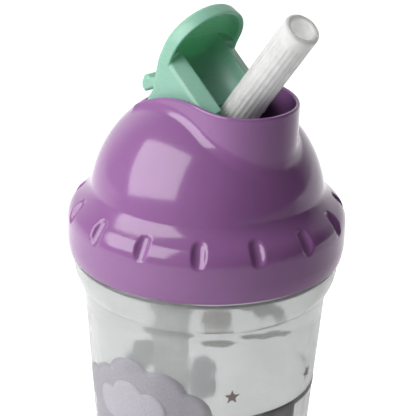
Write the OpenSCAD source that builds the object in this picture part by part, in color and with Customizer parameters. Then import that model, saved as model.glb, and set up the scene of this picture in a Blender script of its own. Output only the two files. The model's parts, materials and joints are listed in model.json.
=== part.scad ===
// Flip-straw sippy cup: a clear screw-neck cup, a domed lid with a flip cover,
// a soft straw and the seals inside. Millimetres, +Z up, +X towards the drinker.
// The origin is the centre of the foot, on the table.

/* [Cup] */
// Height of the lid's lower rim above the table
body_h = 104; // [98:1:115]
// Outer radius of the foot
foot_r = 27.4; // [26:0.1:29]
// Outer radius at the waist, where the tapered wall meets the shoulder
waist_r = 34.4; // [34:0.1:34.8]
// Outer radius of the rounded shoulder under the lid
shoulder_r = 37.4; // [37:0.1:37.8]
// Height of the rounded shoulder
shoulder_h = 10; // [9:0.5:12]
// Wall thickness of the cup
cup_wall = 1.4; // [1.2:0.1:1.6]

/* [Neck and thread] */
// Outer radius of the threaded neck
neck_r = 34.6; // [34.4:0.1:34.8]
// Height of the neck above the lid's lower rim
neck_h = 10.4; // [10.3:0.1:10.5]
// Rise of the thread in one turn
pitch = 4; // [4:0.1:4.2]
// Turn of the lid from tight to free, in degrees
free_turn = 400; // [380:5:400]

/* [Lid] */
// Largest radius of the lid's skirt
skirt_r = 39; // [39:0.1:39.5]
// Height of the skirt's rounded top, where the dome rises from it
skirt_h = 17; // [16.8:0.1:17.2]
// Radius of the dome
dome_r = 33; // [32.8:0.1:33.2]
// Number of grip flutes round the skirt
flutes = 15; // [12:1:18]
// Wall thickness of the lid
lid_wall = 1.6; // [1.4:0.1:1.8]

/* [Collar round the straw] */
// Half the inner width of the collar
collar_half = 14.2; // [14.2:0.1:14.4]
// Front tip of the collar's inner wall, ahead of the cup's axis
collar_tip = 27.2; // [27.2:0.1:27.6]
// Height of the collar's rim at the top of its arch, above the lid's lower rim
collar_h = 48.6; // [48.4:0.1:48.8]
// How far the rim falls from there to the front
collar_fall = 1.1; // [1:0.1:1.2]
// Thickness of the collar's wall
collar_wall = 1.2; // [1.2:0.1:1.4]

/* [Flip cover] */
// Swing of the cover from open to closed, in degrees
cover_swing = 68; // [68:1:70]
// Half the width of the cover
cover_half = 12.25; // [12:0.05:12.3]
// Wall thickness of the cover
cover_wall = 1.4; // [1.2:0.1:1.5]
// Radius of the trough that holds the straw
trough_r = 7.35; // [7.2:0.05:7.5]
// Radius of the moulded hinge pins
trunnion_r = 2.5; // [2.2:0.1:2.6]

/* [Straw] */
// Lean of the straw from upright, in degrees
straw_lean = 37.5; // [37:0.5:38]
// Length of the straw above the floor of the well
straw_len = 59.9; // [54:0.1:60]
// Outer radius of the straw
straw_r = 5; // [4.9:0.05:5.1]
// Radius of the straw's bore
straw_bore_r = 3.3; // [3.2:0.05:3.4]
// Outer radius of the lower tube
tube_r = 5.2; // [5:0.05:5.3]
// Radius of the lower tube's bore
tube_bore_r = 4; // [3.8:0.05:4.2]
// Clearance between the lower tube and the inside of the cup's base
tube_gap = 3; // [2:0.5:6]

/* [Hidden] */
$fn = 96;

// Gaps: a running fit on the hinge pins, and what the soft seals keep clear of the hard parts.
pin_clearance = 0.05;
seal_gap = 0.05;
cut = 1; // how far a cutting shape runs past the face that it opens

// Cup.
foot_fillet = 3;
foot_ring_r = 21;
foot_recess = 1.2;
floor_t = 1.8;
rim_gap = 0.4;
shoulder_round = 4;

// Thread: one ridge on the neck and one inside the skirt, half a pitch apart.
thread_root = 1.1;
thread_crest = 0.45;
thread_depth = 1.5;
thread_z = 2.9;
thread_turns = 1.5;
thread_step = 7.5;
thread_runout = 30;
thread_bite = 0.2;
lid_thread_drop = 1.6;
lid_thread_turns = 1.1;

// Lid. Heights here are above the lid's lower rim.
rim_r = skirt_r - 0.7;
rim_flare_h = 5;
skirt_round = 7;
crease_round = 3.5;
arc_overlap = 0.02; // how far the crease's arc runs into its neighbours
skirt_bore_r = 36.6;
seat_z = neck_h + 1.85;
dome_z = 15;
flute_r = 2.2;
flute_depth = 1.3;
flute_tilt = 35; // the flutes lie along the skirt's rounded top, this far from upright
flute_half = 2.5;
flute_first = 2.7;
well_floor = 26;
floor_low = well_floor - lid_wall;
floor_mid = well_floor - lid_wall / 2;
well_back = -13.6;
rim_peak_x = 8;
rim_arch_r = 40;

// Hinge axis of the flip cover, above the lid's lower rim.
hinge_x = -4;
hinge_z = 40;
hinge_boss_r = 4.5;
hinge_boss_out = 17.2;
trunnion_end = 15.6;
trunnion_socket_end = 15.9;

// Flip cover, drawn closed with the hinge axis at its origin.
arch_x = 14.3;
arch_z = -20.9;
arch_r = 33;
nose_x = 18.65;
hood_lip = 3;
barrel_r = 9.2;
barrel_to = 150;
trough_x = 15.75;
trough_z = 0.5;
trough_tilt = 14;
trough_low = -13.9;
flange_slope = 26;
flange_lip = 0.25;
flange_back = 3.2;
notch_r = 6.5;
notch_low = -15.1;
hub_r = 5;
hub_washer_end = 13.95;
tab_half = 9;

// Straw. It leans forward through the centre of its hole in the well's floor. Under the floor
// it runs on at the same lean to an elbow, and then straight down into the lower tube's socket.
plug_x = -2.2;
plug_hole_r = 7.4;
plug_flange_r = 9.4;
plug_flange_h = 2;
plug_bead_r = 8.6;
plug_bead_h = 1;
elbow_x = -14;
knuckle = 0.9;
socket_low = -25.5;
socket_len = 13.5;
socket_wall = 1.6;
tail_gap = 1.5;
tube_bevel = 30;

// Vent valve.
vent_x = 18.5;
vent_hole_r = 2;
vent_head_r = 3.4;
vent_head_h = 1;
vent_disc_h = 0.8;
vent_bill_h = 4;

// Points of an arc about a centre, from angle a to angle b.
function arc(cx, cy, r, a, b, n = 12) =
    [for (i = [0:n]) [cx + r * cos(a + (b - a) * i / n), cy + r * sin(a + (b - a) * i / n)]];

// The upper point where two circles cross, from their centres and radii.
function circles_meet(a, ra, b, rb) =
    let (span = norm(b - a), way = (b - a) / span)
    let (along = (span * span + ra * ra - rb * rb) / (2 * span))
    let (off = sqrt(ra * ra - along * along))
    a + along * way + off * [way[1], -way[0]];

// Height of a ridge's ends, which fade in and out along the turn.
function fade(turn, length, runout) = min(1, turn / runout, (length - turn) / runout);

// A helical ridge, rising as it turns anticlockwise. depth is positive outwards.
module helix_ridge(root_r, depth, z, first, length) {
    steps = ceil(length / thread_step);
    bite = depth > 0 ? -thread_bite : thread_bite;
    rings = [for (i = [0:steps])
        let (turn = length * i / steps)
        let (size = max(0.05, fade(turn, length, thread_runout)))
        let (tip = root_r + depth * size)
        let (base_z = z + pitch * (first + turn) / 360)
        let (section = [
            [root_r + bite, -thread_root],
            [root_r + bite, thread_root],
            [tip, thread_root - (thread_root - thread_crest) * size],
            [tip, (thread_root - thread_crest) * size - thread_root]])
        [for (p = section) [p[0] * cos(first + turn), p[0] * sin(first + turn), base_z + p[1]]]];
    points = [for (ring = rings) each ring];
    flip = depth < 0;
    sides = [for (i = [0:steps - 1]) for (j = [0:3])
        let (a = 4 * i + j)
        let (b = 4 * i + (j + 1) % 4)
        each (flip ? [[a, b, b + 4], [a, b + 4, a + 4]] : [[a, b + 4, b], [a, a + 4, b + 4]])];
    last = 4 * steps;
    ends = flip
        ? [[3, 2, 1, 0], [last, last + 1, last + 2, last + 3]]
        : [[0, 1, 2, 3], [last + 3, last + 2, last + 1, last]];
    polyhedron(points = points, faces = concat(sides, ends), convexity = 6);
}

// Outline of the cup's wall, offset inwards by t, from the axis to the neck's top.
module cup_section(t) {
    waist_z = body_h - rim_gap - shoulder_h;
    shoulder_z = body_h - rim_gap;
    polygon(concat(
        [[0, t]],
        [[foot_r - foot_fillet, t]],
        arc(foot_r - foot_fillet, foot_fillet, foot_fillet - t, -90, -4, 8),
        [[waist_r - t, waist_z]],
        arc(shoulder_r - shoulder_round - t, shoulder_z - shoulder_round - t,
            shoulder_round, -50, 0, 8),
        arc(shoulder_r - shoulder_round - t, shoulder_z - shoulder_round - t,
            shoulder_round, 0, 60, 8),
        [[neck_r - t, shoulder_z - t]],
        [[neck_r - t, body_h + neck_h + (t > 0 ? cut : 0)]],
        [[0, body_h + neck_h + (t > 0 ? cut : 0)]]));
}

module cup() {
    color([0.86, 0.88, 0.92, 0.45]) {
        difference() {
            rotate_extrude() cup_section(0);
            rotate_extrude() intersection() {
                cup_section(cup_wall);
                translate([0, floor_t + foot_recess]) square([2 * foot_r, 2 * body_h]);
            }
            translate([0, 0, -cut]) cylinder(r = foot_ring_r, h = foot_recess + cut);
        }
        helix_ridge(neck_r, thread_depth, body_h + thread_z, 0, 360 * thread_turns);
    }
}

// Centres of the arcs in the lid's outline: the skirt's rounded top, and the soft crease that
// touches both that and the dome.
skirt_middle = [skirt_r - skirt_round, skirt_h - skirt_round];
crease_middle = circles_meet(
    skirt_middle, skirt_round + crease_round, [0, dome_z], dome_r + crease_round);

module lid_outline() {
    polygon([
        [0, 0],
        [rim_r, 0],
        [skirt_r, rim_flare_h],
        [skirt_r, skirt_h - skirt_round],
        [0, skirt_h - skirt_round]]);
    square([skirt_r - skirt_round, skirt_h]);
    translate(skirt_middle) circle(r = skirt_round);
    translate([0, dome_z]) quarter_disc(dome_r);
    difference() {
        polygon([skirt_middle, crease_middle, [0, dome_z]]);
        translate(crease_middle) circle(r = crease_round + arc_overlap);
    }
}

module quarter_disc(r) {
    intersection() {
        circle(r = r);
        square(r + cut);
    }
}

// Plan of the collar and its well: straight sides and a half-round front.
module slot(half, tip, back) {
    translate([tip - half, 0]) circle(r = half);
    translate([back, -half]) square([tip - half - back, 2 * half]);
}

// Side view of the collar: its rim arches over the well and falls to the dome behind it.
module collar_side() {
    back_x = well_back - 3 * collar_wall;
    front_x = collar_tip + 3 * collar_wall;
    back_turn = asin((rim_peak_x - back_x) / rim_arch_r);
    polygon(concat(
        arc(rim_peak_x, collar_h - rim_arch_r, rim_arch_r, 90 + back_turn, 90, 16),
        [[front_x, collar_h - collar_fall], [front_x, floor_low - cut]],
        [[back_x, floor_low - cut]]));
}

module collar_block() {
    intersection() {
        translate([0, 0, floor_low])
            linear_extrude(collar_h)
            slot(collar_half + collar_wall, collar_tip + collar_wall, well_back - collar_wall);
        across(2 * collar_half) collar_side();
    }
}

// A cylinder along Y through the hinge axis, the same on both sides.
module hinge_cylinder(r, from, to) {
    for (side = [-1, 1])
        translate([0, side * (from + to) / 2, 0])
            rotate([90, 0, 0])
            cylinder(r = r, h = to - from, center = true);
}

module grip_flutes() {
    reach = skirt_round + flute_r - flute_depth;
    for (i = [0:flutes - 1]) rotate(flute_first + 360 * i / flutes)
        translate([skirt_middle[0] + reach * cos(flute_tilt), 0, skirt_middle[1] + reach * sin(flute_tilt)])
        rotate([0, -flute_tilt, 0]) {
            cylinder(r = flute_r, h = 2 * flute_half, center = true);
            translate([0, 0, -flute_half]) sphere(r = flute_r);
            translate([0, 0, flute_half]) sphere(r = flute_r);
        }
}

module lid_hollow() {
    difference() {
        rotate_extrude() {
            translate([0, -cut]) square([skirt_bore_r, seat_z + cut]);
            square([dome_r - lid_wall, dome_z]);
            translate([0, dome_z]) quarter_disc(dome_r - lid_wall);
        }
        collar_block();
        translate([hinge_x, 0, hinge_z]) hinge_cylinder(hinge_boss_r, collar_half, hinge_boss_out);
    }
}

module lid_shell() {
    color([0.62, 0.42, 0.66]) translate([0, 0, body_h]) {
        difference() {
            union() {
                rotate_extrude() lid_outline();
                collar_block();
            }
            lid_hollow();
            translate([0, 0, well_floor])
                linear_extrude(collar_h)
                slot(collar_half, collar_tip, well_back);
            translate([hinge_x, 0, hinge_z])
                hinge_cylinder(trunnion_r + pin_clearance, collar_half - cut, trunnion_socket_end);
            translate([plug_x, 0, 0]) cylinder(r = plug_hole_r, h = collar_h);
            translate([vent_x, 0, 0]) cylinder(r = vent_hole_r, h = collar_h);
            grip_flutes();
        }
        helix_ridge(skirt_bore_r, -thread_depth, thread_z - lid_thread_drop,
            360 * thread_turns - free_turn, 360 * lid_thread_turns);
    }
}

module lid_gasket() {
    inner_r = neck_r - cup_wall - 1;
    color([0.93, 0.94, 0.95]) translate([0, 0, body_h + neck_h + seal_gap])
        difference() {
            cylinder(r = skirt_bore_r - 0.3, h = seat_z - neck_h - 2 * seal_gap);
            translate([0, 0, -cut]) cylinder(r = inner_r, h = seat_z);
        }
}

// Side view of the cover's body, closed: a wedge from the hinge up past the arch,
// with its front face along the trough's rims.
module cover_side() {
    front_top = arch_x;
    polygon(concat(
        [barrel_r * 1.4 * [cos(barrel_to), sin(barrel_to)]],
        [[barrel_r * 1.4 * cos(barrel_to), front_top]],
        [[trough_x + (front_top - trough_z) * tan(trough_tilt), front_top]],
        [[trough_x + trough_low * tan(trough_tilt), trough_z + trough_low]],
        [[9.6, -13.2], [5.5, -12.4]],
        arc(0, 0, hub_r, -60, -150, 6)));
}

module across(half) {
    rotate([90, 0, 0]) linear_extrude(2 * half, center = true) children();
}

// The cover's domed top, continued round the hinge as a barrel.
module cover_dome(inset, drop = 0) {
    translate([arch_x, 0, arch_z - drop]) sphere(r = arch_r - inset);
    if (drop == 0) across(2 * cover_half) circle(r = barrel_r - inset);
}

module trough_frame() {
    translate([trough_x, 0, trough_z]) rotate([0, trough_tilt, 0]) children();
}

module hood_plan(inset) {
    half = cover_half - inset;
    translate([nose_x, 0]) circle(r = half);
    translate([trough_x, -half]) square([nose_x - trough_x, 2 * half]);
}

// Everything in front of the plane through the trough's rims.
module ahead_of_rims() {
    trough_frame() translate([0, -2 * cover_half, -arch_r])
        cube([arch_r, 4 * cover_half, 2 * arch_r]);
}

// Under the visor's lip.
module under_visor() {
    cover_dome(0, hood_lip + cover_wall);
}

module visor_hollow() {
    intersection() {
        ahead_of_rims();
        linear_extrude(arch_r) hood_plan(cover_wall);
        cover_dome(cover_wall);
    }
}

module straw_trough() {
    intersection() {
        trough_frame() cylinder(r = trough_r, h = 2 * arch_r, center = true);
        cover_dome(cover_wall);
    }
}

// The flanges beside the trough slope away from its rims.
module flange_slopes() {
    intersection() {
        trough_frame() for (side = [0, 1]) mirror([0, side, 0])
            translate([0, trough_r + flange_lip, -arch_r])
            rotate(flange_slope)
            cube([arch_r, arch_r, 2 * arch_r]);
        under_visor();
    }
}

// The space inside the cover, behind the trough, open below.
module cover_hollow() {
    difference() {
        intersection() {
            cover_dome(cover_wall);
            across(cover_half - cover_wall) translate([-2 * barrel_r, -2 * barrel_r])
                square([2 * arch_r, 2 * arch_r]);
        }
        trough_frame() cylinder(r = trough_r + cover_wall, h = 3 * arch_r, center = true);
        trough_frame() translate([-flange_back, -2 * cover_half, -arch_r])
            cube([2 * arch_r, 4 * cover_half, 2 * arch_r]);
    }
}

module cover_body() {
    difference() {
        intersection() {
            union() {
                across(cover_half) cover_side();
                linear_extrude(arch_x) hood_plan(0);
            }
            cover_dome(0);
        }
        intersection() {
            ahead_of_rims();
            under_visor();
        }
        visor_hollow();
        straw_trough();
        flange_slopes();
        cover_hollow();
        trough_frame() translate([0, 0, notch_low]) rotate([0, 90, 0])
            cylinder(r = notch_r, h = 3 * cover_half, center = true);
    }
}

module thumb_tab() {
    across(tab_half)
        polygon([
            [1.2, 8.4], [1.7, 11.1], [-1.4, 13.7], [-1.2, 14.9], [0.2, 15.8], [2.6, 15.8],
            [3.4, 14.8], [3.5, 13.2], [5, 11.4], [7, 11.2], [7, 9.4]]);
}

module flip_cover() {
    color([0.52, 0.75, 0.66]) translate([hinge_x, 0, body_h + hinge_z]) rotate([0, -cover_swing, 0]) {
        cover_body();
        thumb_tab();
        hinge_cylinder(hub_r - 0.5, cover_half - cover_wall, hub_washer_end);
        hinge_cylinder(trunnion_r, cover_half - cover_wall, trunnion_end);
    }
}

// The straw's path at radius r: the leaning part, a round knuckle and the tail under it.
module straw_path(r, over) {
    drop = (plug_x - elbow_x) / tan(straw_lean);
    tail_low = socket_low + tail_gap - over;
    translate([plug_x, 0, floor_mid]) rotate([0, straw_lean, 0]) {
        cylinder(r = r, h = straw_len + over);
        mirror([0, 0, 1]) cylinder(r = r, h = drop / cos(straw_lean));
    }
    translate([elbow_x, 0, floor_mid - drop]) sphere(r = r + knuckle);
    translate([elbow_x, 0, tail_low]) cylinder(r = r, h = floor_mid - drop - tail_low);
}

module straw_spout() {
    color([0.9, 0.92, 0.94, 0.7]) translate([0, 0, body_h]) difference() {
        union() {
            straw_path(straw_r, 0);
            translate([plug_x, 0, well_floor + seal_gap]) cylinder(r = plug_bead_r, h = plug_bead_h);
            translate([plug_x, 0, floor_low - cut])
                cylinder(r = plug_hole_r - seal_gap, h = lid_wall + 2 * cut);
            translate([plug_x, 0, floor_low - seal_gap - plug_flange_h])
                cylinder(r = plug_flange_r, h = plug_flange_h);
        }
        straw_path(straw_bore_r, cut);
    }
}

module straw_tube() {
    low = floor_t + foot_recess + tube_gap;
    top = body_h + socket_low;
    color([0.9, 0.93, 0.95, 0.6]) translate([elbow_x, 0, 0]) difference() {
        union() {
            translate([0, 0, low]) cylinder(r = tube_r, h = top - low + tail_gap);
            translate([0, 0, top]) cylinder(r = tube_r + socket_wall, h = socket_len);
        }
        translate([0, 0, low - cut]) cylinder(r = tube_bore_r, h = top - low + 2 * tail_gap);
        translate([0, 0, top + tail_gap - seal_gap]) cylinder(r = straw_r + seal_gap, h = socket_len);
        translate([tube_r, 0, low]) rotate([0, tube_bevel, 0])
            translate([-4 * tube_r, -2 * tube_r, -4 * tube_r])
            cube([6 * tube_r, 4 * tube_r, 4 * tube_r]);
    }
}

module vent_valve() {
    color([0.93, 0.94, 0.95]) translate([vent_x, 0, body_h]) difference() {
        union() {
            translate([0, 0, well_floor + seal_gap]) cylinder(r = vent_head_r, h = vent_head_h);
            translate([0, 0, floor_low - cut / 2])
                cylinder(r = vent_hole_r - seal_gap, h = lid_wall + cut);
            translate([0, 0, floor_low - seal_gap - vent_disc_h]) cylinder(r = vent_head_r, h = vent_disc_h);
            translate([0, 0, floor_low - vent_bill_h])
                cylinder(r1 = 0.9, r2 = vent_hole_r, h = vent_bill_h - vent_disc_h);
        }
        translate([0, 0, floor_low - vent_bill_h - cut]) cylinder(r = 0.35, h = collar_h);
    }
}

cup();
lid_shell();
lid_gasket();
flip_cover();
straw_spout();
straw_tube();
vent_valve();
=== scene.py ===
"""Looks of a flip-straw sippy cup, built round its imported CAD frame.

Shapes are worked out in millimetres and turned into metres as each mesh is made. The lid and
the flip cover are solid fields: a function that is negative inside the plastic, with every
edge rounded by a formula. The rest are turned or swept outlines.
"""

import json
import math

import bpy
import numpy as np
from mathutils import Matrix, Quaternion, Vector


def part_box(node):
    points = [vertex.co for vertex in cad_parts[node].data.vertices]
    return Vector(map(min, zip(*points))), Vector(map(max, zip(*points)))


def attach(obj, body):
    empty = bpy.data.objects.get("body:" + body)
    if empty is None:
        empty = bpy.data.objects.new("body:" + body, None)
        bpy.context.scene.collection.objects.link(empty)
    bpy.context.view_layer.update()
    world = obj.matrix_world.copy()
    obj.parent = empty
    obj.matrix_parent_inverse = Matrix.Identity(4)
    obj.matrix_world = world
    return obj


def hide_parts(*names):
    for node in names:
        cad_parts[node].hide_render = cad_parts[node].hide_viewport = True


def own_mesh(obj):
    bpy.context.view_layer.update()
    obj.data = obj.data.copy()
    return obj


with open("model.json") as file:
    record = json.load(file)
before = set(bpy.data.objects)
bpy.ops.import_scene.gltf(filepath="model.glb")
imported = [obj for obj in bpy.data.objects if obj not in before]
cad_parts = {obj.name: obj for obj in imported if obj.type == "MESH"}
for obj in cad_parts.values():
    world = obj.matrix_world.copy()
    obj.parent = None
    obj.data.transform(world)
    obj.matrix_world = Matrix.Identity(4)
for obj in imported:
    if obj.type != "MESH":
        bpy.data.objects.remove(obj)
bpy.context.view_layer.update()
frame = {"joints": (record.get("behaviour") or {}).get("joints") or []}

MM = 0.001

# ---- Sizes from the frame, in millimetres ------------------------------------------------

joints = {joint["name"]: joint for joint in frame["joints"]}
LID_Z = joints["lid_turn"]["pos_m"][2] / MM
HINGE_X = joints["cover_flip"]["pos_m"][0] / MM
HINGE_Z = joints["cover_flip"]["pos_m"][2] / MM
COVER_SWING = joints["cover_flip"]["range_deg"][1]


def box_mm(node):
    """A CAD node's lowest and highest corners at rest."""
    low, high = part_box(node)
    return np.array(low) / MM, np.array(high) / MM


lid_high = box_mm("lid_shell")[1]
cup_high = box_mm("cup")[1]
gasket_low, gasket_high = box_mm("lid_gasket")
valve_low, valve_high = box_mm("vent_valve")
tube_low, tube_high = box_mm("straw_tube")

SKIRT_R = lid_high[0]
COLLAR_H = lid_high[2] - LID_Z
SHOULDER_R = cup_high[0]
NECK_TOP = cup_high[2]
PITCH = 4.0
THREAD_Z = 2.9
THREAD_DEPTH = 1.5
THREAD_TURNS = 1.5
LID_THREAD_DROP = 1.6
LID_THREAD_FROM = math.radians(140)
LID_THREAD_TURNS = 1.1

# ---- Sizes of the visible surfaces, in millimetres, heights above the lid's lower rim -----

SKIRT_H = 17.0
SKIRT_ROUND = 7.0
CREASE_ROUND = 3.5
RIM_TAPER = 0.7
RIM_FLARE_H = 5.0
SKIRT_BORE = 36.6
SEAT_Z = gasket_high[2] - LID_Z
DOME_Z = 15.0
DOME_R = 33.0
LID_WALL = 1.6
FLUTES = 15
FLUTE_R, FLUTE_DEPTH, FLUTE_HALF = 2.2, 1.3, 2.5
FLUTE_TILT = math.radians(35)
FLUTE_TURN = math.radians(2.7)

COLLAR_HALF = 14.2
COLLAR_TIP = 27.2
COLLAR_WALL = 1.2
COLLAR_FALL = 1.1
RIM_PEAK_X = 8.0
RIM_ARCH_R = 40.0
WELL_BACK = -13.6
WELL_FLOOR = 26.0
FLOOR_LOW = WELL_FLOOR - LID_WALL
TRUNNION_R, TRUNNION_END = 2.5, 15.6
WASHER_END = 13.95
BOSS_R, BOSS_OUT, BOSS_CAP = 4.5, 17.2, 1.3

COVER_HALF = 12.25
COVER_WALL = 1.4
ARCH_X, ARCH_Z, ARCH_R = 14.3, -20.9, 33.0
NOSE_X = 18.65
HOOD_LIP = 3.0
BARREL_R = 9.2
BARREL_TO = math.radians(150)
TROUGH_R = 7.35
TROUGH_X, TROUGH_Z = 15.75, 0.5
TROUGH_TILT = math.radians(14)
TROUGH_LOW = -13.9
NOTCH_R, NOTCH_LOW = 6.5, -15.1
FLANGE_SLOPE = math.radians(26)
FLANGE_LIP, FLANGE_BACK = 0.25, 3.2
HUB_R = 5.0
TAB_HALF = 9.0

STRAW_LEAN = math.radians(37.5)
STRAW_R, STRAW_BORE = 5.0, 3.3
STRAW_LEN = 59.9
STRAW_RIBS = 22
RIB_DEPTH = 0.28
PLUG_X = -2.2
PLUG_HOLE_R, PLUG_BEAD_R, PLUG_FLANGE_R = 7.4, 8.6, 9.4
ELBOW_X = (tube_low[0] + tube_high[0]) / 2
TUBE_TOP = tube_high[2] - LID_Z
SOCKET_R = (tube_high[0] - tube_low[0]) / 2
SOCKET_LEN = 13.5
SOCKET_LOW = TUBE_TOP - SOCKET_LEN
VENT_X = (valve_low[0] + valve_high[0]) / 2
VENT_HOLE_R = 2.0

CUP_WALL = 1.4
FOOT_R = 27.4
WAIST_R = 34.4
NECK_R = 34.6

# ---- Solid fields --------------------------------------------------------------------------


def join_round(a, b, r):
    """Union of two solids, with a fillet of radius r where they meet."""
    u = np.maximum(r - a, 0)
    v = np.maximum(r - b, 0)
    return np.maximum(r, np.minimum(a, b)) - np.hypot(u, v)


def keep_round(a, b, r):
    """What two solids share, with their common edge rounded to radius r."""
    u = np.maximum(r + a, 0)
    v = np.maximum(r + b, 0)
    return np.minimum(-r, np.maximum(a, b)) + np.hypot(u, v)


def cut_round(a, b, r):
    """Solid a with solid b taken away."""
    return keep_round(a, -b, r)


def polygon_field(points, x, y):
    """Signed distance to a polygon, negative inside."""
    best = np.full(np.shape(x), 1e9)
    sign = np.ones(np.shape(x))
    for (ax, ay), (bx, by) in zip(points, points[-1:] + points[:-1]):
        ex, ey = bx - ax, by - ay
        wx, wy = x - ax, y - ay
        t = np.clip((wx * ex + wy * ey) / (ex * ex + ey * ey), 0, 1)
        best = np.minimum(best, (wx - ex * t) ** 2 + (wy - ey * t) ** 2)
        above, below = y >= ay, y < by
        left = ex * wy > ey * wx
        flip = (above & below & left) | (~above & ~below & ~left)
        sign = np.where(flip, -sign, sign)
    return sign * np.sqrt(best)


def gradient(field, points, h=0.01):
    slope = np.empty_like(points)
    for axis in range(3):
        offset = np.zeros(3)
        offset[axis] = h
        slope[:, axis] = field(points + offset) - field(points - offset)
    return slope / (2 * h)


def settle(field, points, reach):
    """Moves points along the field's slope until they lie on its surface."""
    start = points.copy()
    for _ in range(6):
        slope = gradient(field, points)
        size = np.maximum((slope**2).sum(1), 1e-6)
        points = points - (field(points) / size)[:, None] * slope
        points = start + np.clip(points - start, -reach, reach)
    return points


CORNERS = np.array([(i, j, k) for i in (0, 1) for j in (0, 1) for k in (0, 1)])


def surface_of(field, low, high, step):
    """Vertices, quads and normals of a field's surface: one vertex in each crossed cell."""
    low = np.array(low, float)
    count = np.ceil((np.array(high) - low) / step).astype(int) + 1
    xs, ys, zs = (low[a] + step * np.arange(count[a]) for a in range(3))
    plane = np.stack(np.meshgrid(xs, ys, indexing="ij"), -1)
    value = np.empty(count, np.float32)
    for k, z in enumerate(zs):
        points = np.concatenate([plane, np.full(plane.shape[:2] + (1,), z)], -1)
        value[:, :, k] = field(points.reshape(-1, 3)).reshape(plane.shape[:2])
    inside = value < 0
    cells = count - 1
    full = np.zeros(cells, int)
    for i, j, k in CORNERS:
        full += inside[i : i + cells[0], j : j + cells[1], k : k + cells[2]]
    crossed = (full > 0) & (full < 8)
    place = np.argwhere(crossed)
    index = np.full(cells, -1)
    index[crossed] = np.arange(len(place))
    total = np.zeros((len(place), 3))
    hits = np.zeros(len(place))
    for a in CORNERS:
        for axis in range(3):
            if a[axis]:
                continue
            b = a.copy()
            b[axis] = 1
            va = value[tuple((place + a).T)]
            vb = value[tuple((place + b).T)]
            cross = (va < 0) != (vb < 0)
            share = np.where(cross, va / np.where(cross, va - vb, 1), 0)
            total += cross[:, None] * (a + share[:, None] * (b - a))
            hits += cross
    vertices = low + step * (place + total / hits[:, None])
    quads = []
    for axis in range(3):
        u, v = (axis + 1) % 3, (axis + 2) % 3
        first = [slice(None)] * 3
        second = [slice(None)] * 3
        first[axis] = slice(0, -1)
        second[axis] = slice(1, None)
        change = inside[tuple(first)] != inside[tuple(second)]
        edge = np.argwhere(change)
        keep = (edge[:, u] > 0) & (edge[:, v] > 0) & (edge[:, u] < cells[u]) & (edge[:, v] < cells[v])
        edge = edge[keep]
        ring = []
        for du, dv in ((-1, -1), (0, -1), (0, 0), (-1, 0)):
            cell = edge.copy()
            cell[:, u] += du
            cell[:, v] += dv
            ring.append(index[tuple(cell.T)])
        ring = np.stack(ring, 1)
        outward = inside[tuple(edge.T)]
        ring[~outward] = ring[~outward][:, ::-1]
        quads.append(ring)
    vertices = settle(field, vertices, 0.9 * step)
    slope = gradient(field, vertices)
    normals = slope / np.maximum(np.linalg.norm(slope, axis=1), 1e-9)[:, None]
    return vertices, np.concatenate(quads), normals


# ---- Mesh helpers --------------------------------------------------------------------------


def new_mesh(name, vertices, faces, normals=None):
    """A smooth-shaded object from vertices in millimetres."""
    mesh = bpy.data.meshes.new(name)
    mesh.from_pydata((np.asarray(vertices) * MM).tolist(), [], [list(map(int, f)) for f in faces])
    mesh.validate()
    mesh.shade_smooth()
    if normals is not None:
        mesh.normals_split_custom_set_from_vertices(np.asarray(normals).tolist())
    thing = bpy.data.objects.new(name, mesh)
    bpy.context.scene.collection.objects.link(thing)
    return thing


def rounded(corners, arc_step=math.radians(9)):
    """An outline through (r, z, radius) corners, each rounded to its own radius."""
    outline = []
    last = len(corners) - 1
    for i, (x, z, r) in enumerate(corners):
        here = np.array([x, z], float)
        if r == 0 or i in (0, last):
            outline.append(here)
            continue
        back = np.array(corners[i - 1][:2], float) - here
        ahead = np.array(corners[i + 1][:2], float) - here
        back /= np.linalg.norm(back)
        ahead /= np.linalg.norm(ahead)
        half = math.acos(np.clip(back @ ahead, -1, 1)) / 2
        middle = (back + ahead) / np.linalg.norm(back + ahead)
        centre = here + middle * r / math.sin(half)
        sweep = math.pi - 2 * half
        start = here + back * r / math.tan(half) - centre
        turn = 1 if back[0] * ahead[1] - back[1] * ahead[0] < 0 else -1
        count = max(2, math.ceil(sweep / arc_step))
        for k in range(count + 1):
            a = turn * sweep * k / count
            c, s = math.cos(a), math.sin(a)
            outline.append(centre + np.array([c * start[0] - s * start[1], s * start[0] + c * start[1]]))
    return np.array(outline)


def dense(outline, spacing):
    """The same outline with no stretch longer than spacing."""
    points = [outline[0]]
    for a, b in zip(outline[:-1], outline[1:]):
        count = max(1, math.ceil(np.linalg.norm(b - a) / spacing))
        points += [a + (b - a) * k / count for k in range(1, count + 1)]
    return np.array(points)


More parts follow.
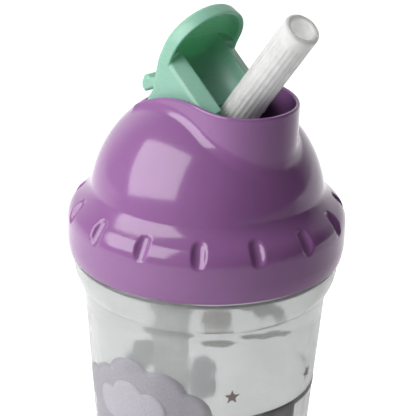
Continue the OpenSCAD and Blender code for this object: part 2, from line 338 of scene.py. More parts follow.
def turned(name, outline, segments=192, centre=(0, 0), radial=None):
    """Turns an outline of (r, z) about a vertical axis. Ends on the axis close to a point;
    an outline that ends off the axis is closed back to its start."""
    outline = np.asarray(outline, float)
    on_axis = outline[0, 0] < 1e-6
    angle = np.linspace(0, 2 * math.pi, segments, endpoint=False)
    rings = outline[1:-1] if on_axis else outline
    r = np.repeat(rings[:, :1], segments, 1)
    z = np.repeat(rings[:, 1:], segments, 1)
    a = np.repeat(angle[None], len(rings), 0)
    if radial is not None:
        r = r + radial(r, z, a)
    grid = np.stack([centre[0] + r * np.cos(a), centre[1] + r * np.sin(a), z], -1)
    vertices = grid.reshape(-1, 3).tolist()
    faces = []
    stop = len(rings) - 1 if on_axis else len(rings)
    for i in range(stop):
        j = (i + 1) % len(rings)
        for k in range(segments):
            n = (k + 1) % segments
            faces.append((i * segments + k, i * segments + n, j * segments + n, j * segments + k))
    if on_axis:
        for row, tip, flip in ((0, outline[0], False), (len(rings) - 1, outline[-1], True)):
            vertices.append([centre[0], centre[1], tip[1]])
            pole = len(vertices) - 1
            for k in range(segments):
                a, b = row * segments + k, row * segments + (k + 1) % segments
                faces.append((a, pole, b) if not flip else (b, pole, a))
    return new_mesh(name, vertices, faces)


def swept(name, path, outer, inner, segments=64, lip=0.0, wave=None):
    """A tube of wall outer-inner along a path, both ends rounded over by lip."""
    path = np.asarray(path, float)
    step = np.diff(path, axis=0)
    along = np.concatenate([[0], np.cumsum(np.linalg.norm(step, axis=1))])
    tangent = np.gradient(path, along, axis=0)
    tangent /= np.linalg.norm(tangent, axis=1)[:, None]
    side = np.array([0.0, 1.0, 0.0])
    front = np.cross(side, tangent)
    angle = np.linspace(0, 2 * math.pi, segments, endpoint=False)
    rings = []
    half = (outer - inner) / 2

    def ring(i, r, shift=0.0):
        bump = wave(angle, along[i], along[-1]) if wave is not None and r > inner + half else 0
        size = (r + bump)[:, None] if np.ndim(bump) else r
        spoke = np.cos(angle)[:, None] * front[i] + np.sin(angle)[:, None] * side
        rings.append(path[i] + tangent[i] * shift + size * spoke)

    bend = [math.radians(a) for a in range(0, 181, 18)]
    for i in range(len(path)):
        ring(i, outer)
    for a in bend[1:-1]:
        ring(len(path) - 1, inner + half + half * math.cos(a), half * math.sin(a) * lip)
    for i in reversed(range(len(path))):
        ring(i, inner)
    for a in bend[1:-1]:
        ring(0, inner + half - half * math.cos(a), -half * math.sin(a) * lip)
    vertices = np.concatenate(rings)
    faces = []
    for i in range(len(rings)):
        j = (i + 1) % len(rings)
        for k in range(segments):
            n = (k + 1) % segments
            faces.append((i * segments + k, i * segments + n, j * segments + n, j * segments + k))
    return new_mesh(name, vertices, faces)


def outward(thing):
    """Turns every face of a closed mesh outwards."""
    import bmesh

    work = bmesh.new()
    work.from_mesh(thing.data)
    bmesh.ops.recalc_face_normals(work, faces=work.faces)
    work.to_mesh(thing.data)
    work.free()
    return thing


# ---- The lid ---------------------------------------------------------------------------------


def slot_plan(x, y, half, tip, back, corner=1.5):
    """Plan of the collar: straight sides, a half-round front and a square back."""
    front = tip - half
    round_end = np.hypot(np.maximum(x - front, 0), y) - half
    return keep_round(round_end, back - x, corner)


def collar_rim(x):
    """Height of the collar's rim: an arch behind its peak, a slight fall in front of it."""
    behind = np.clip(RIM_PEAK_X - x, 0, RIM_ARCH_R * 0.95)
    arch = RIM_ARCH_R - np.sqrt(RIM_ARCH_R**2 - behind**2)
    ahead = np.clip((x - RIM_PEAK_X) / (COLLAR_TIP - 2 - RIM_PEAK_X), 0, 1)
    return COLLAR_H - arch - COLLAR_FALL * ahead * ahead * (3 - 2 * ahead)


def flute_field(x, y, z):
    """Scoops that lie along the skirt's rounded top."""
    pitch = 2 * math.pi / FLUTES
    turn = np.arctan2(y, x) - FLUTE_TURN
    turn = (turn + pitch / 2) % pitch - pitch / 2
    rho = np.hypot(x, y)
    c, s = math.cos(FLUTE_TILT), math.sin(FLUTE_TILT)
    reach = SKIRT_ROUND + FLUTE_R - FLUTE_DEPTH
    out = rho * np.cos(turn) - (SKIRT_R - SKIRT_ROUND + reach * c)
    rise = z - (SKIRT_H - SKIRT_ROUND + reach * s)
    along = np.abs(rise * c - out * s)
    off = out * c + rise * s
    return np.sqrt((rho * np.sin(turn)) ** 2 + off**2 + np.maximum(along - FLUTE_HALF, 0) ** 2) - FLUTE_R


def thread_field(x, y, z, wall, depth, start, first, turns):
    """A helical ridge on a wall of radius wall, standing out by depth (negative: inwards)."""
    rho = np.hypot(x, y)
    turn = np.mod(np.arctan2(y, x) - first, 2 * math.pi)
    rise = z - start - PITCH * (turn + first) / (2 * math.pi)
    lap = np.clip(np.round(rise / PITCH), 0, math.ceil(turns) - 1)
    lap = np.where(turn + 2 * math.pi * lap > 2 * math.pi * turns, lap - 1, lap)
    off = np.abs(rise - PITCH * lap)
    end = (turn + 2 * math.pi * lap - 2 * math.pi * turns) * wall
    out = (rho - wall) * np.sign(depth)
    ridge = keep_round(off - 1.1 + 0.43 * np.maximum(out, 0), out - abs(depth), 0.3)
    return np.where(lap < 0, 9.0, np.maximum(ridge, np.maximum(end, -abs(depth) - out)))


def lid_field(points):
    x, y, z = points.T
    rho = np.hypot(x, y)
    flare = RIM_TAPER * np.clip(1 - z / RIM_FLARE_H, 0, 1) ** 2
    side = rho - SKIRT_R + flare
    skirt = keep_round(side, z - SKIRT_H, SKIRT_ROUND)
    skirt = keep_round(skirt, -z, 0.45)
    dome = np.hypot(rho, z - DOME_Z) - DOME_R
    outside = join_round(skirt, np.maximum(dome, DOME_Z - z), CREASE_ROUND)
    outside = cut_round(outside, flute_field(x, y, z), 0.5)
    plan = slot_plan(x, y, COLLAR_HALF + COLLAR_WALL, COLLAR_TIP + COLLAR_WALL, WELL_BACK - COLLAR_WALL)
    collar = keep_round(plan, 0.85 * (z - collar_rim(x)), 0.55)
    collar = np.maximum(collar, FLOOR_LOW - z)
    outside = join_round(outside, collar, 1.6)
    well_plan = slot_plan(x, y, COLLAR_HALF, COLLAR_TIP, WELL_BACK)
    well = np.maximum(well_plan, WELL_FLOOR - z)
    solid = cut_round(outside, well, 0.5)
    inside = np.maximum(rho - SKIRT_BORE, z - SEAT_Z)
    under_dome = np.hypot(rho, np.maximum(z - DOME_Z, 0)) - DOME_R + LID_WALL
    under_dome = np.maximum(under_dome, SEAT_Z - 1 - z)
    block = np.maximum(plan, FLOOR_LOW - z)
    boss = np.hypot(x - HINGE_X, z - HINGE_Z + LID_Z) - BOSS_R
    boss = np.maximum(boss, np.abs(y) - BOSS_OUT)
    under_dome = cut_round(under_dome, np.minimum(block, boss), 0.6)
    solid = cut_round(solid, np.minimum(inside, under_dome), 0.3)
    socket = np.hypot(x - HINGE_X, z - HINGE_Z + LID_Z) - TRUNNION_R - 0.05
    solid = cut_round(solid, np.maximum(socket, np.abs(y) - BOSS_OUT + BOSS_CAP), 0.2)
    holes = np.minimum(np.hypot(x - PLUG_X, y) - PLUG_HOLE_R, np.hypot(x - VENT_X, y) - VENT_HOLE_R)
    solid = cut_round(solid, np.maximum(holes, z - WELL_FLOOR - 2), 0.2)
    thread = thread_field(
        x, y, z, SKIRT_BORE, -THREAD_DEPTH, THREAD_Z - LID_THREAD_DROP, LID_THREAD_FROM, LID_THREAD_TURNS)
    return join_round(solid, thread, 0.3)


def make_lid():
    margin = 1.3
    step = 0.42
    reach = SKIRT_R + margin
    low = (-reach, -reach, -margin)
    high = (reach, reach, COLLAR_H + margin)
    vertices, quads, normals = surface_of(lid_field, low, high, step)
    vertices[:, 2] += LID_Z
    return new_mesh("screw_lid", vertices, quads, normals)


# ---- The flip cover, drawn closed about its hinge ------------------------------------------------


def trough_axes(x, z):
    """Coordinates across (towards the straw) and along the trough's rims."""
    c, s = math.cos(TROUGH_TILT), math.sin(TROUGH_TILT)
    dx, dz = x - TROUGH_X, z - TROUGH_Z
    return dx * c - dz * s, dx * s + dz * c


def cover_side_points():
    t = math.tan(TROUGH_TILT)
    top = 15.0
    hub = [(HUB_R * math.cos(a), HUB_R * math.sin(a)) for a in np.radians([-60, -80, -105, -130, -150])]
    far = 1.4 * BARREL_R
    return [
        (far * math.cos(BARREL_TO), far * math.sin(BARREL_TO)),
        (far * math.cos(BARREL_TO), top),
        (TROUGH_X + (top - TROUGH_Z) * t, top),
        (TROUGH_X + TROUGH_LOW * t, TROUGH_Z + TROUGH_LOW),
        (9.6, -13.2),
        (5.5, -12.4),
    ] + hub


COVER_SIDE = cover_side_points()
TAB_SIDE = [
    (1.2, 8.4), (1.7, 11.1), (-1.4, 13.7), (-1.2, 14.9), (0.2, 15.8), (2.6, 15.8),
    (3.4, 14.8), (3.5, 13.2), (5.0, 11.4), (7.0, 11.2), (7.0, 9.4),
]


def cover_dome(x, y, z, inset, drop=0.0):
    ball = np.sqrt((x - ARCH_X) ** 2 + y ** 2 + (z - ARCH_Z + drop) ** 2) - ARCH_R + inset
    if drop:
        return ball
    return join_round(ball, np.hypot(x, z) - BARREL_R + inset, 1.0)


def hood_plan(x, y, inset):
    return np.hypot(np.maximum(x - NOSE_X, 0), y) - COVER_HALF + inset


def cover_field(points):
    x, y, z = points.T
    side = np.abs(y)
    across, along = trough_axes(x, z)
    top = cover_dome(x, y, z, 0)
    under_top = cover_dome(x, y, z, COVER_WALL)
    visor_low = cover_dome(x, y, z, 0, HOOD_LIP + COVER_WALL)
    c, s = math.cos(FLANGE_SLOPE), math.sin(FLANGE_SLOPE)
    slope = across * c + (side - TROUGH_R - FLANGE_LIP) * s
    body = keep_round(polygon_field(COVER_SIDE, x, z), slope, 0.3)
    body = keep_round(body, top, 0.8)
    body = keep_round(body, side - COVER_HALF, 0.9)
    hood = keep_round(top, hood_plan(x, y, 0), 0.9)
    hood = np.maximum(hood, TROUGH_X - 3 - x)
    hood = keep_round(hood, -visor_low, 0.5)
    solid = join_round(body, hood, 0.4)
    visor = keep_round(hood_plan(x, y, COVER_WALL), under_top, 1.2)
    visor = np.maximum(visor, -across)
    trough = keep_round(np.hypot(across, y) - TROUGH_R, under_top, 1.2)
    solid = cut_round(solid, join_round(visor, trough, 0.4), 0.45)
    hollow = keep_round(under_top, side - COVER_HALF + COVER_WALL, 0.8)
    hollow = cut_round(hollow, np.hypot(across, y) - TROUGH_R - COVER_WALL, 0.6)
    hollow = keep_round(hollow, across + FLANGE_BACK, 0.5)
    solid = cut_round(solid, hollow, 0.3)
    notch = np.hypot(along - NOTCH_LOW, y) - NOTCH_R
    solid = cut_round(solid, notch, 0.45)
    tab = keep_round(polygon_field(TAB_SIDE, x, z), side - TAB_HALF, 0.8) - 0.15
    solid = join_round(solid, tab, 0.7)
    hub = np.hypot(x, z)
    washer = keep_round(hub - HUB_R + 0.5, side - WASHER_END, 0.3)
    washer = np.maximum(washer, COVER_HALF - COVER_WALL - side)
    pin = keep_round(hub - TRUNNION_R, side - TRUNNION_END, 0.3)
    pin = np.maximum(pin, COVER_HALF - COVER_WALL - side)
    return np.minimum(solid, np.minimum(washer, pin))


def make_cover():
    step = 0.3
    low = (-13, -17, -15)
    high = (34, 17, 18)
    vertices, quads, normals = surface_of(cover_field, low, high, step)
    turn = np.array(Matrix.Rotation(math.radians(-COVER_SWING), 3, "Y"))
    vertices = vertices @ turn.T + np.array([HINGE_X, 0, HINGE_Z])
    return new_mesh("flip_top", vertices, quads, normals @ turn.T)


# ---- Straw -----------------------------------------------------------------------------------


def straw_ribs(angle, here, whole):
    """Fine lengthwise ribs that fade out before the smooth lip."""
    lip = np.clip((whole - here - 3.2) / 1.6, 0, 1)
    return -RIB_DEPTH * lip * (0.5 - 0.5 * np.cos(STRAW_RIBS * angle)) ** 1.5


def straw_point(length):
    """A point of the straw's axis, length above its hole's middle."""
    return (
        PLUG_X + length * math.sin(STRAW_LEAN),
        0.0,
        LID_Z + FLOOR_LOW + LID_WALL / 2 + length * math.cos(STRAW_LEAN),
    )


def make_straw():
    first = 2.2
    lip = (STRAW_R - STRAW_BORE) / 2
    lengths = np.linspace(first, STRAW_LEN - lip, 60)
    path = [straw_point(s) for s in lengths]
    return swept("soft_straw", path, STRAW_R, STRAW_BORE, STRAW_RIBS * 8, 1.0, straw_ribs)


def bend_path():
    """The straw's axis under the floor: on along its lean, then round to hang straight down."""
    drop = (PLUG_X - ELBOW_X) / math.tan(STRAW_LEAN)
    elbow_z = LID_Z + FLOOR_LOW + LID_WALL / 2 - drop
    corner = np.array([ELBOW_X, 0, elbow_z])
    top = np.array(straw_point(0.5))
    down = np.array([ELBOW_X, 0, LID_Z + SOCKET_LOW + 1.6])
    lean = (top - corner) / np.linalg.norm(top - corner)
    ease = 9.0
    start = corner + lean * ease
    stop = corner + np.array([0, 0, -ease])
    curve = [(1 - t) ** 2 * start + 2 * t * (1 - t) * corner + t * t * stop for t in np.linspace(0, 1, 16)]
    straight = [top + (start - top) * t for t in np.linspace(0, 1, 6)[:-1]]
    tail = [stop + (down - stop) * t for t in np.linspace(0, 1, 8)[1:]]
    return straight + curve + tail


def make_plug():
    floor = LID_Z + WELL_FLOOR
    low = LID_Z + FLOOR_LOW
    outline = rounded([
        (STRAW_R - 0.4, floor + 1.05, 0), (PLUG_BEAD_R, floor + 1.05, 0.45), (PLUG_BEAD_R, floor + 0.05, 0.2),
        (PLUG_HOLE_R - 0.05, floor + 0.05, 0.1), (PLUG_HOLE_R - 0.05, low - 0.05, 0.1),
        (PLUG_FLANGE_R, low - 0.05, 0.3), (PLUG_FLANGE_R, low - 2.05, 0.6),
        (STRAW_R - 0.4, low - 2.05, 0)])
    return outward(turned("straw_plug", outline, 96, (PLUG_X, 0)))


def make_tail():
    return outward(swept("straw_tail", bend_path(), STRAW_R, STRAW_BORE, 64, 0.6))


def make_tube():
    low, top = tube_low[2], LID_Z + SOCKET_LOW
    outline = rounded([
        (4.0, low, 0.2), (5.2, low, 0.3), (5.2, top - 1.2, 0.8), (SOCKET_R, top, 0.9),
        (SOCKET_R, tube_high[2], 0.5), (5.25, tube_high[2], 0.4), (5.25, top + 1.5, 0.2),
        (4.0, top + 1.5, 0.3), (4.0, low, 0.2)])
    tube = turned("lower_tube", outline[1:], 96, (ELBOW_X, 0))
    for vertex in tube.data.vertices:
        x, z = vertex.co.x / MM - ELBOW_X, vertex.co.z / MM
        bevel = low + (5.2 - x) * math.tan(math.radians(30))
        if z < bevel:
            vertex.co.z = bevel * MM
    return outward(tube)


# ---- Cup, seal and valve --------------------------------------------------------------------------


def cup_thread(r, z, angle):
    """How far the neck's thread stands out at a point of the neck's outer wall."""
    start = LID_Z + THREAD_Z
    on_wall = (r > NECK_R - 0.3) & (z > start - 1.5) & (z < NECK_TOP - 0.6)
    best = np.zeros_like(r)
    for lap in range(2):
        turn = angle + 2 * math.pi * lap
        centre = start + PITCH * turn / (2 * math.pi)
        fade = np.clip(np.minimum(turn, 2 * math.pi * THREAD_TURNS - turn) / math.radians(30), 0, 1)
        shape = np.clip((1.1 - np.abs(z - centre)) / 0.65, 0, 1)
        best = np.maximum(best, THREAD_DEPTH * shape * fade)
    return np.where(on_wall, best, 0)


def cup_outline():
    """The cup's wall: up the outside from the foot's middle, over the neck and down the inside."""
    rim = LID_Z - 0.4
    curve_r = 13.5
    arc = [(SHOULDER_R - curve_r * (1 - math.cos(a)), rim - 1.6 - curve_r * math.sin(a))
           for a in np.radians(np.linspace(38.5, 0, 14))]
    outer = rounded(
        [(0, 1.6, 0), (20.4, 1.2, 0.6), (21.4, 0, 0.5), (FOOT_R - 0.2, 0, 3.0), (WAIST_R, arc[0][1], 0)])
    shoulder = rounded([(*arc[-1], 0), (SHOULDER_R, rim, 0.7), (NECK_R, rim, 0.4), (NECK_R, rim + 1.2, 0)])
    neck = dense(np.array([(NECK_R, rim + 1.3), (NECK_R, NECK_TOP - 0.8)]), 0.22)
    lip = rounded([
        (NECK_R, NECK_TOP - 0.7, 0), (NECK_R, NECK_TOP, 0.5), (NECK_R - CUP_WALL, NECK_TOP, 0.5),
        (NECK_R - CUP_WALL, NECK_TOP - 2, 0)])
    inner_arc = [(r - CUP_WALL, z) for r, z in reversed(arc)]
    inner = rounded([
        (NECK_R - CUP_WALL, NECK_TOP - 4, 0), (NECK_R - CUP_WALL, rim - CUP_WALL, 0.8),
        (SHOULDER_R - CUP_WALL, rim - CUP_WALL - 1.0, 0.8), (*inner_arc[0], 0)])
    floor = rounded([
        (WAIST_R - CUP_WALL, arc[0][1] - 0.4, 0), (FOOT_R - CUP_WALL + 0.1, 3.0, 3.0), (19, 3.0, 1.0),
        (0, 3.2, 0)])
    parts = [outer, arc[1:], shoulder[1:], neck[1:], lip[1:], inner, inner_arc[1:], floor]
    return dense(np.concatenate([np.array(part) for part in parts]), 6.0)


def make_cup():
    return outward(turned("clear_cup", cup_outline(), 288, radial=cup_thread))


def make_seal():
    low, high = gasket_low[2], gasket_high[2]
    outer = gasket_high[0]
    inner = NECK_R - CUP_WALL - 1
    outline = rounded([
        (inner, low, 0), (outer, low, 0.3), (outer, high, 0.3), (inner, high, 0.3), (inner, low, 0.3),
        (inner + 0.01, low, 0)])
    return outward(turned("sealing_ring", outline[1:-1], 160))


def make_valve():
    low = LID_Z + FLOOR_LOW
    high = LID_Z + WELL_FLOOR
    outline = rounded([
        (0, low - 4, 0), (0.9, low - 4, 0.2), (2.0, low - 0.85, 0.2), (3.4, low - 0.85, 0.3),
        (3.4, low - 0.05, 0.3), (1.95, low - 0.05, 0.1), (1.95, high + 0.05, 0.1),
        (3.4, high + 0.05, 0.2), (3.4, high + 1.05, 0.45),
        (0.6, high + 1.05, 0.2), (0.35, high + 0.6, 0.1), (0, high + 0.6, 0)])
    return outward(turned("air_valve", outline, 64, (VENT_X, 0)))


# ---- Print on the cup --------------------------------------------------------------------------


def wall_radius(z):
    """Outer radius of the cup's tapered wall at a height above the table."""
    waist = LID_Z - 10.4
    return FOOT_R + (WAIST_R - FOOT_R) * (z - 3) / (waist - 3)


def star_outline(size, points=5, waist=0.42, tilt=0.0):
    tips = []
    for i in range(2 * points):
        r = size * (1 if i % 2 == 0 else waist)
        a = math.pi * i / points + math.pi / 2 + tilt
        tips.append((r * math.cos(a), r * math.sin(a)))
    return dense(np.array(tips + tips[:1]), 0.4)[:-1]


def puff_outline(puffs, count=220):
    """Outline of overlapping round puffs (x, z, r), all holding the origin's line of sight."""
    outline = []
    for a in np.linspace(0, 2 * math.pi, count, endpoint=False):
        d = np.array([math.cos(a), math.sin(a)])
        best = 0.3
        for x, z, r in puffs:
            b = d @ (x, z)
            inner = b * b - (x * x + z * z - r * r)
            if inner > 0:
                best = max(best, b + math.sqrt(inner))
        outline.append(best * d)
    return np.array(outline)


FRONT_CLOUD = [
    (-18, 6, 6.5), (-10, 9, 7.5), (-2, 13, 8.5), (7, 12, 8.0), (14, 7, 7.5), (19, 1, 7.0),
    (12, -4, 8.0), (0, -2, 12.0), (-14, -4, 8.0)]


def panel_outline(half_wide, high, corner=0.6):
    """A rounded rectangle, half_wide to each side of its centre."""
    points = []
    x, z = half_wide - corner, high / 2 - corner
    for cx, cz, start in ((x, z, 0), (-x, z, 90), (-x, -z, 180), (x, -z, 270)):
        for a in np.radians(np.linspace(start, start + 90, 5)):
            points.append((cx + corner * math.cos(a), cz + corner * math.sin(a)))
    return dense(np.array(points + points[:1]), 0.6)[:-1]


def printed(name, outline, turn, height, rings=8, lift=0.03, skin=0.05):
    """A thin closed film that follows the cup's wall: outline in millimetres about its centre."""
    count = len(outline)
    scale = np.linspace(1, 0, rings + 1)[:-1]
    flat = [outline * s for s in scale] + [np.zeros((1, 2))]
    flat = np.concatenate(flat)
    layers = []
    for offset in (lift, lift + skin):
        z = height + flat[:, 1]
        r = wall_radius(z) + offset
        a = math.radians(turn) + flat[:, 0] / wall_radius(height)
        layers.append(np.stack([r * np.cos(a), r * np.sin(a), z], -1))
    size = len(flat)
    faces = []
    for layer in range(2):
        base = layer * size
        for k in range(rings):
            for i in range(count):
                j = (i + 1) % count
                a, b = base + k * count + i, base + k * count + j
                if k == rings - 1:
                    face = (a, b, base + size - 1)
                else:
                    face = (a, b, b + count, a + count)
                faces.append(face)
    for i in range(count):
        j = (i + 1) % count
        faces.append((i, j, size + j, size + i))
    return outward(new_mesh(name, np.concatenate(layers), faces))


# ---- Materials -----------------------------------------------------------------------------------


class Nodes:
    """Short forms for building a material's node tree."""

    def __init__(self, name):
        self.material = bpy.data.materials.new(name)
        self.material.use_nodes = True
        self.tree = self.material.node_tree
        self.tree.nodes.clear()
        self.output = self.tree.nodes.new("ShaderNodeOutputMaterial")

    def add(self, kind, inputs=None, **settings):
        node = self.tree.nodes.new("ShaderNode" + kind)
        for key, value in settings.items():
            setattr(node, key, value)
        for key, value in (inputs or {}).items():
            if isinstance(value, bpy.types.NodeSocket):
                self.tree.links.new(value, node.inputs[key])
            else:
                node.inputs[key].default_value = value
        return node

    def place(self, scale=(1, 1, 1)):
        """Position in the piece's own millimetres."""
        where = self.add("TexCoord").outputs["Object"]
        return self.add("Mapping", {"Vector": where, "Scale": [s / MM for s in scale]}).outputs[0]

    def noise(self, where, scale, detail=3.0, rough=0.5):
        inputs = {"Vector": where, "Scale": scale, "Detail": detail, "Roughness": rough}
        return self.add("TexNoise", inputs).outputs[0]

    def span(self, value, low, high, out_low=0.0, out_high=1.0):
        """Maps low..high of a value to out_low..out_high, and clamps."""
        return self.add("MapRange", {0: value, 1: low, 2: high, 3: out_low, 4: out_high}).outputs[0]

    def blend(self, share, a, b):
        return self.add("Mix", {0: share, 6: a, 7: b}, data_type="RGBA").outputs[2]

    def bump(self, height, distance, strength=1.0):
        inputs = {"Height": height, "Distance": distance * MM, "Strength": strength}
        return self.add("Bump", inputs).outputs[0]

    def finish(self, shader):
        self.tree.links.new(shader, self.output.inputs["Surface"])
        return self.material


def lid_plastic():
    n = Nodes("purple_plastic")
    where = n.place()
    clouding = n.noise(where, 0.06, 2.0)
    colour = n.blend(clouding, (0.250, 0.104, 0.275, 1), (0.282, 0.120, 0.306, 1))
    scuffs = n.noise(n.place((0.25, 0.25, 2.2)), 1.6, 4.0, 0.6)
    rough = n.span(scuffs, 0.35, 0.75, 0.13, 0.20)
    skin = n.bump(n.noise(where, 1.1, 3.0), 0.012)
    shader = n.add("BsdfPrincipled", {
        "Base Color": colour, "Roughness": rough, "IOR": 1.49, "Normal": skin,
        "Subsurface Weight": 0.12, "Subsurface Radius": (1.2, 0.5, 1.4), "Subsurface Scale": MM * 0.8,
        "Coat Weight": 0.25, "Coat Roughness": 0.06})
    return n.finish(shader.outputs[0])


def cover_plastic():
    n = Nodes("mint_plastic")
    where = n.place()
    clouding = n.noise(where, 0.08, 2.0)
    colour = n.blend(clouding, (0.345, 0.610, 0.500, 1), (0.375, 0.640, 0.530, 1))
    scuffs = n.noise(n.place((0.4, 0.4, 1.6)), 1.2, 4.0, 0.6)
    rough = n.span(scuffs, 0.35, 0.75, 0.27, 0.31)
    skin = n.bump(n.noise(where, 1.3, 3.0), 0.004)
    body = n.add("BsdfPrincipled", {
        "Base Color": colour, "Roughness": rough, "IOR": 1.49, "Normal": skin,
        "Subsurface Weight": 0.5, "Subsurface Radius": (0.5, 1.6, 0.9), "Subsurface Scale": MM * 1.6})
    through = n.add("BsdfTranslucent", {"Color": (0.10, 0.62, 0.30, 1)})
    shader = n.add("MixShader", {0: 0.26, 1: body.outputs[0], 2: through.outputs[0]})
    return n.finish(shader.outputs[0])


def clear_plastic():
    n = Nodes("clear_plastic")
    where = n.place()
    haze = n.noise(where, 0.05, 3.0)
    streaks = n.noise(n.place((1.0, 1.0, 0.12)), 0.5, 3.0, 0.55)
    rough = n.span(haze, 0.3, 0.7, 0.06, 0.12)
    skin = n.bump(streaks, 0.03)
    glassy = n.add("BsdfPrincipled", {
        "Base Color": (0.90, 0.91, 0.91, 1), "Roughness": rough, "IOR": 1.49, "Normal": skin,
        "Transmission Weight": 1.0})
    milk = n.add("BsdfDiffuse", {"Color": (0.70, 0.71, 0.70, 1), "Normal": skin})
    glow = n.add("BsdfTranslucent", {"Color": (0.70, 0.71, 0.70, 1), "Normal": skin})
    cloud = n.add("MixShader", {0: 0.5, 1: milk.outputs[0], 2: glow.outputs[0]})
    cloudy = n.span(haze, 0.3, 0.7, 0.22, 0.30)
    shader = n.add("MixShader", {0: cloudy, 1: glassy.outputs[0], 2: cloud.outputs[0]})
    return n.finish(shader.outputs[0])


def straw_silicone(name="straw_silicone", milk_share=0.35):
    n = Nodes(name)
    where = n.place()
    haze = n.noise(where, 0.3, 3.0)
    skin = n.bump(n.noise(where, 2.5, 3.0), 0.01)
    clear = n.add("BsdfPrincipled", {
        "Base Color": (0.95, 0.95, 0.95, 1), "Roughness": 0.22, "IOR": 1.41, "Normal": skin,
        "Transmission Weight": 1.0})
    milk = n.add("BsdfPrincipled", {
        "Base Color": (0.88, 0.88, 0.87, 1), "Roughness": 0.3, "Normal": skin,
        "Subsurface Weight": 1.0, "Subsurface Radius": (1, 1, 1), "Subsurface Scale": MM * 2})
    share = n.span(haze, 0.3, 0.7, milk_share - 0.05, milk_share + 0.05)
    shader = n.add("MixShader", {0: share, 1: clear.outputs[0], 2: milk.outputs[0]})
    return n.finish(shader.outputs[0])


def print_ink(name, colour, cover=0.85):
    n = Nodes(name)
    where = n.place()
    grain = n.noise(where, 2.2, 4.0, 0.6)
    tone = n.blend(n.span(grain, 0.3, 0.7), tuple(0.92 * c for c in colour) + (1,), tuple(colour) + (1,))
    ink = n.add("BsdfPrincipled", {"Base Color": tone, "Roughness": 0.4})
    gap = n.add("BsdfTransparent", {"Color": (1, 1, 1, 1)})
    share = n.span(grain, 0.2, 0.8, cover - 0.06, cover + 0.06)
    shader = n.add("MixShader", {0: share, 1: gap.outputs[0], 2: ink.outputs[0]})
    return n.finish(shader.outputs[0])


# ---- Assembly ---------------------------------------------------------------------------------------


def dress(thing, material, body, slot, *nodes):
    thing.data.materials.clear()
    thing.data.materials.append(material)
    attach(thing, body)
    if nodes:
        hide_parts(*nodes)
    return thing


lid_look = lid_plastic()
cover_look = cover_plastic()
cup_look = clear_plastic()
straw_look = straw_silicone(milk_share=0.55)
seal_look = straw_silicone("seal_silicone", 0.8)
tube_look = straw_silicone("tube_plastic", 0.2)

dress(make_lid(), lid_look, "lid", "lid_plastic", "lid_shell")
dress(make_cover(), cover_look, "cover", "cover_plastic", "flip_cover")
dress(make_cup(), cup_look, "cup", "clear_plastic", "cup")
dress(make_plug(), seal_look, "lid", "straw_silicone", "straw_spout")
dress(make_tail(), straw_look, "lid", "straw_silicone", "straw_spout")
dress(make_tube(), tube_look, "lid", "tube_plastic", "straw_tube")
dress(make_seal(), seal_look, "gasket", "seal_silicone", "lid_gasket")
dress(make_valve(), seal_look, "lid", "seal_silicone", "vent_valve")
straw = dress(outward(make_straw()), straw_look, "lid", "straw_silicone", "straw_spout")
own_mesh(straw)

star_ink = print_ink("taupe_ink", (0.27, 0.21, 0.19), 0.92)
cloud_ink = print_ink("lilac_grey_ink", (0.42, 0.40, 0.45), 0.62)
glow_ink = print_ink("pale_lilac_ink", (0.62, 0.60, 0.66), 0.55)
slate_ink = print_ink("slate_ink", (0.17, 0.155, 0.165), 0.68)
blue_ink = print_ink("pale_blue_ink", (0.42, 0.52, 0.62), 0.6)
blush_ink = print_ink("blush_ink", (0.75, 0.62, 0.55), 0.7)

FAR_CLOUD = [(-6, 0, 2.6), (0, 0.8, 3.6), (7, 0, 3.0), (2, -1, 2.8)]
# Name, outline, turn round the cup in degrees, height in millimetres and ink of each print.
PRINTS = [
    ("star_front", star_outline(2.3), -27.9, 73.3, star_ink),
    ("star_side", star_outline(2.3, tilt=0.3), 20.9, 72.6, star_ink),
    ("cloud_front", puff_outline(FRONT_CLOUD), -76, 60, cloud_ink),
    ("cloud_heart", puff_outline([(-2, 8, 6.0), (5, 7, 5.0), (-9, 5, 5.0), (0, 4, 8.0)]), -78, 60, glow_ink),
    ("hill", panel_outline(9.6, 12), -5.2, 60.2, slate_ink),
    ("path", panel_outline(22, 1.8), 28, 65.4, slate_ink),
    ("cloud_far", puff_outline(FAR_CLOUD), 101, 71.5, cloud_ink),
    ("moon_far", puff_outline([(0, 0, 4.2), (2.5, 0, 3.6)]), 128, 64.5, blush_ink),
    ("drop_far", puff_outline([(0, 0, 6.0), (-3, 3, 4.5), (4, -2, 4.5)]), 173, 57.5, blue_ink),
    ("drop_low", puff_outline([(0, 3, 4.0), (0, -3, 4.5), (1, 0, 4.0)]), 137, 46.5, blue_ink),
    ("star_back", star_outline(2.3, tilt=0.2), 150, 76, star_ink),
    ("star_left", star_outline(2.0, tilt=0.1), -160, 74, star_ink),
]
for name, outline, turn, height, ink in PRINTS:
    lift = 0.12 if name == "cloud_heart" else 0.03
    dress(printed(name, outline, turn, height, lift=lift), ink, "cup", "clear_plastic")

# ---- Stage, light and camera ---------------------------------------------------------------------------

VIEW_TURN = math.radians(47.5)
VIEW_RISE = math.radians(23.9)
VIEW_ROLL = math.radians(1.6)
VIEW_DISTANCE = 500 * MM
VIEW_LENS = 152.5
# The lid's rim sits a little off the picture's middle: turns of the camera to the side and up.
VIEW_AIM = (math.radians(-0.065), math.radians(1.261))
VIEW_RIGHT = Vector((math.cos(VIEW_TURN), math.sin(VIEW_TURN), 0))
VIEW_BACK = Vector((math.sin(VIEW_TURN), -math.cos(VIEW_TURN), 0))

FLOOR_FRONT, FLOOR_BEHIND = 0.04, 0.75
SKY_BEHIND, SKY_LEFT, SKY_ABOVE, SKY_LEAST = 0.95, 0.32, 0.10, 0.02


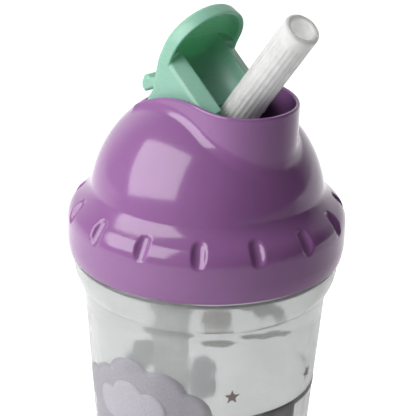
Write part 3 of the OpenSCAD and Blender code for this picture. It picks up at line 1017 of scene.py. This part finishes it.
def make_camera():
    """Looks at the middle of the lid's rim, set off the picture's middle by turning the camera."""
    data = bpy.data.cameras.new("camera")
    data.sensor_width = 36
    data.lens = VIEW_LENS
    data.clip_start = 0.01
    camera = bpy.data.objects.new("camera", data)
    bpy.context.scene.collection.objects.link(camera)
    back = VIEW_BACK * math.cos(VIEW_RISE) + Vector((0, 0, math.sin(VIEW_RISE)))
    facing = Matrix((VIEW_RIGHT, back.cross(VIEW_RIGHT), back)).transposed()
    roll = Matrix.Rotation(VIEW_ROLL, 3, "Z")
    aim = Matrix.Rotation(VIEW_AIM[0], 3, "Y") @ Matrix.Rotation(VIEW_AIM[1], 3, "X")
    turn = facing @ roll @ aim
    target = Vector((0, 0, LID_Z * MM))
    camera.matrix_world = Matrix.Translation(target + back * VIEW_DISTANCE) @ turn.to_4x4()
    bpy.context.scene.camera = camera
    return camera


def area_light(name, place, target, size, power, roll=0.0, colour=(1, 1, 1)):
    data = bpy.data.lights.new(name, "AREA")
    data.shape = "RECTANGLE"
    data.size, data.size_y = size
    data.energy = power
    data.color = colour
    light = bpy.data.objects.new(name, data)
    bpy.context.scene.collection.objects.link(light)
    light.location = place
    facing = (Vector(target) - Vector(place)).to_track_quat("-Z", "Y")
    light.rotation_euler = (facing @ Quaternion((0, 0, 1), roll)).to_euler()
    return light


def toward(vector, n, direction):
    """How far a vector points along a direction."""
    inputs = {0: vector, 1: tuple(direction)}
    return n.add("VectorMath", inputs, operation="DOT_PRODUCT").outputs["Value"]


def seen_directly(n, through):
    """1 where the camera sees the surface, and through where it sees it through clear plastic."""
    path = n.add("LightPath")
    clear = n.add("Math", {0: path.outputs["Is Transmission Ray"], 1: through}, operation="MULTIPLY")
    camera = path.outputs["Is Camera Ray"]
    return n.add("Math", {0: camera, 1: clear.outputs[0]}, operation="MAXIMUM").outputs[0]


def make_floor():
    """A pale floor: bright behind the cup, where its reflections need it, and dimmer in front."""
    bpy.ops.mesh.primitive_plane_add(size=8)
    floor = bpy.context.object
    floor.name = "floor"
    n = Nodes("pale_floor")
    where = n.add("TexCoord").outputs["Object"]
    grain = n.noise(where, 20.0, 2.0)
    tone = n.blend(grain, (0.90, 0.90, 0.90, 1), (0.93, 0.93, 0.93, 1))
    behind = n.span(toward(where, n, -VIEW_BACK), -0.05, 0.35, FLOOR_FRONT, FLOOR_BEHIND)
    seen = seen_directly(n, 0.85)
    strength = n.add("Mix", {0: seen, 2: behind, 3: 0.80}).outputs[0]
    matte = n.add("BsdfDiffuse", {"Color": tone})
    glow = n.add("Emission", {"Color": (1, 1, 1, 1), "Strength": strength})
    both = n.add("AddShader", {0: matte.outputs[0], 1: glow.outputs[0]})
    floor.data.materials.append(n.finish(both.outputs[0]))


def make_world():
    """White to the camera. For reflections it is bright behind the cup and dark at the front right."""
    world = bpy.data.worlds.new("studio")
    bpy.context.scene.world = world
    world.use_nodes = True
    n = Nodes.__new__(Nodes)
    n.tree = world.node_tree
    n.tree.nodes.clear()
    way = n.add("TexCoord").outputs["Generated"]
    behind = n.span(toward(way, n, -VIEW_BACK), 0.30, 0.80, 0.0, SKY_BEHIND)
    left = n.span(toward(way, n, -VIEW_RIGHT), -0.2, 0.9, 0.0, SKY_LEFT)
    above = n.span(toward(way, n, (0, 0, 1)), 0.3, 1.0, 0.0, SKY_ABOVE)
    sides = n.add("Math", {0: behind, 1: left}, operation="MAXIMUM").outputs[0]
    sky = n.add("Math", {0: sides, 1: above}, operation="ADD").outputs[0]
    sky = n.add("Math", {0: sky, 1: SKY_LEAST}, operation="ADD").outputs[0]
    strength = n.add("Mix", {0: seen_directly(n, 0.9), 2: sky, 3: 1.0}).outputs[0]
    glow = n.add("Background", {"Color": (1, 1, 1, 1), "Strength": strength})
    end = n.add("OutputWorld")
    n.tree.links.new(glow.outputs[0], end.inputs["Surface"])


def view_place(right, up, back):
    """A place given from the camera's side: metres right, up and towards the camera."""
    return VIEW_RIGHT * right + VIEW_BACK * back + Vector((0, 0, LID_Z * MM + up))


make_camera()
make_floor()
make_world()
dome_middle = (0, 0, (LID_Z + DOME_Z) * MM)
area_light("key_softbox", view_place(-0.369, 0.294, 0.190), dome_middle, (0.51, 0.43), 3.2, math.radians(16))

scene = bpy.context.scene
scene.view_settings.view_transform = "Standard"
